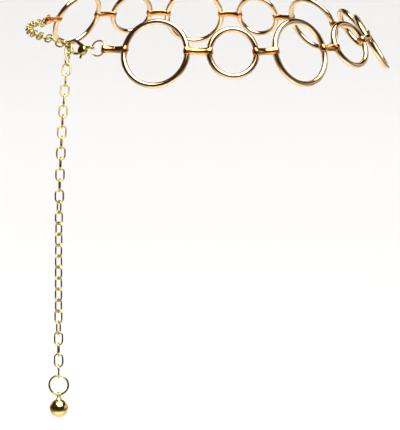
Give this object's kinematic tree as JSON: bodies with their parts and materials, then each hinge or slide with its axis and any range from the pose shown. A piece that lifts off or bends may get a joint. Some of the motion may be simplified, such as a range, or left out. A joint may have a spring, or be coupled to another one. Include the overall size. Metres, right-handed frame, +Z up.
{
  "type": "waist chain",
  "caption": "Chain belt of large and small wire rings joined by folded straps, closed by a claw clasp on a cable chain whose free end hangs down to a ball. In its worn form.",
  "frame": {"origin": "middle of the waist that the belt hangs round, level with the loop", "axes": "+Z up along the wearer's body, -Y the way the wearer faces, +X the wearer's left"},
  "size_m": [0.261, 0.2938, 0.2543],
  "materials": {
    "ring_gold": "polished gold-tone plating",
    "chain_gold": "polished gold-tone plating"
  },
  "bodies": {
    "belt": {"large_ring_1": "ring_gold", "large_ring_2": "ring_gold", "large_ring_3": "ring_gold", "large_ring_4": "ring_gold", "large_ring_5": "ring_gold", "large_ring_6": "ring_gold", "small_ring_1": "ring_gold", "small_ring_2": "ring_gold", "small_ring_3": "ring_gold", "small_ring_4": "ring_gold", "small_ring_5": "ring_gold", "strap_1": "ring_gold", "strap_2": "ring_gold", "strap_3": "ring_gold", "strap_4": "ring_gold", "strap_5": "ring_gold", "strap_6": "ring_gold", "strap_7": "ring_gold", "strap_8": "ring_gold", "strap_9": "ring_gold", "strap_10": "ring_gold", "strap_11": "ring_gold", "strap_12": "ring_gold", "clasp_ring": "chain_gold", "clasp_body": "chain_gold", "side_chain": "chain_gold", "end_ring": "chain_gold", "tail_chain": "chain_gold", "tail_ring": "chain_gold", "ball_drop": "ring_gold"},
    "lever": {"clasp_lever": "chain_gold"}
  },
  "joints": [
    {"name": "clasp_lever", "type": "hinge", "parent": "belt", "child": "lever", "pos_m": [-0.07692, -0.09126, -0.00233], "axis": [0.5772, 0.6982, -0.4235], "range_deg": [0, 20], "stiffness_Nm_per_rad": 0.001, "springref_deg": -34.38}
  ]
}
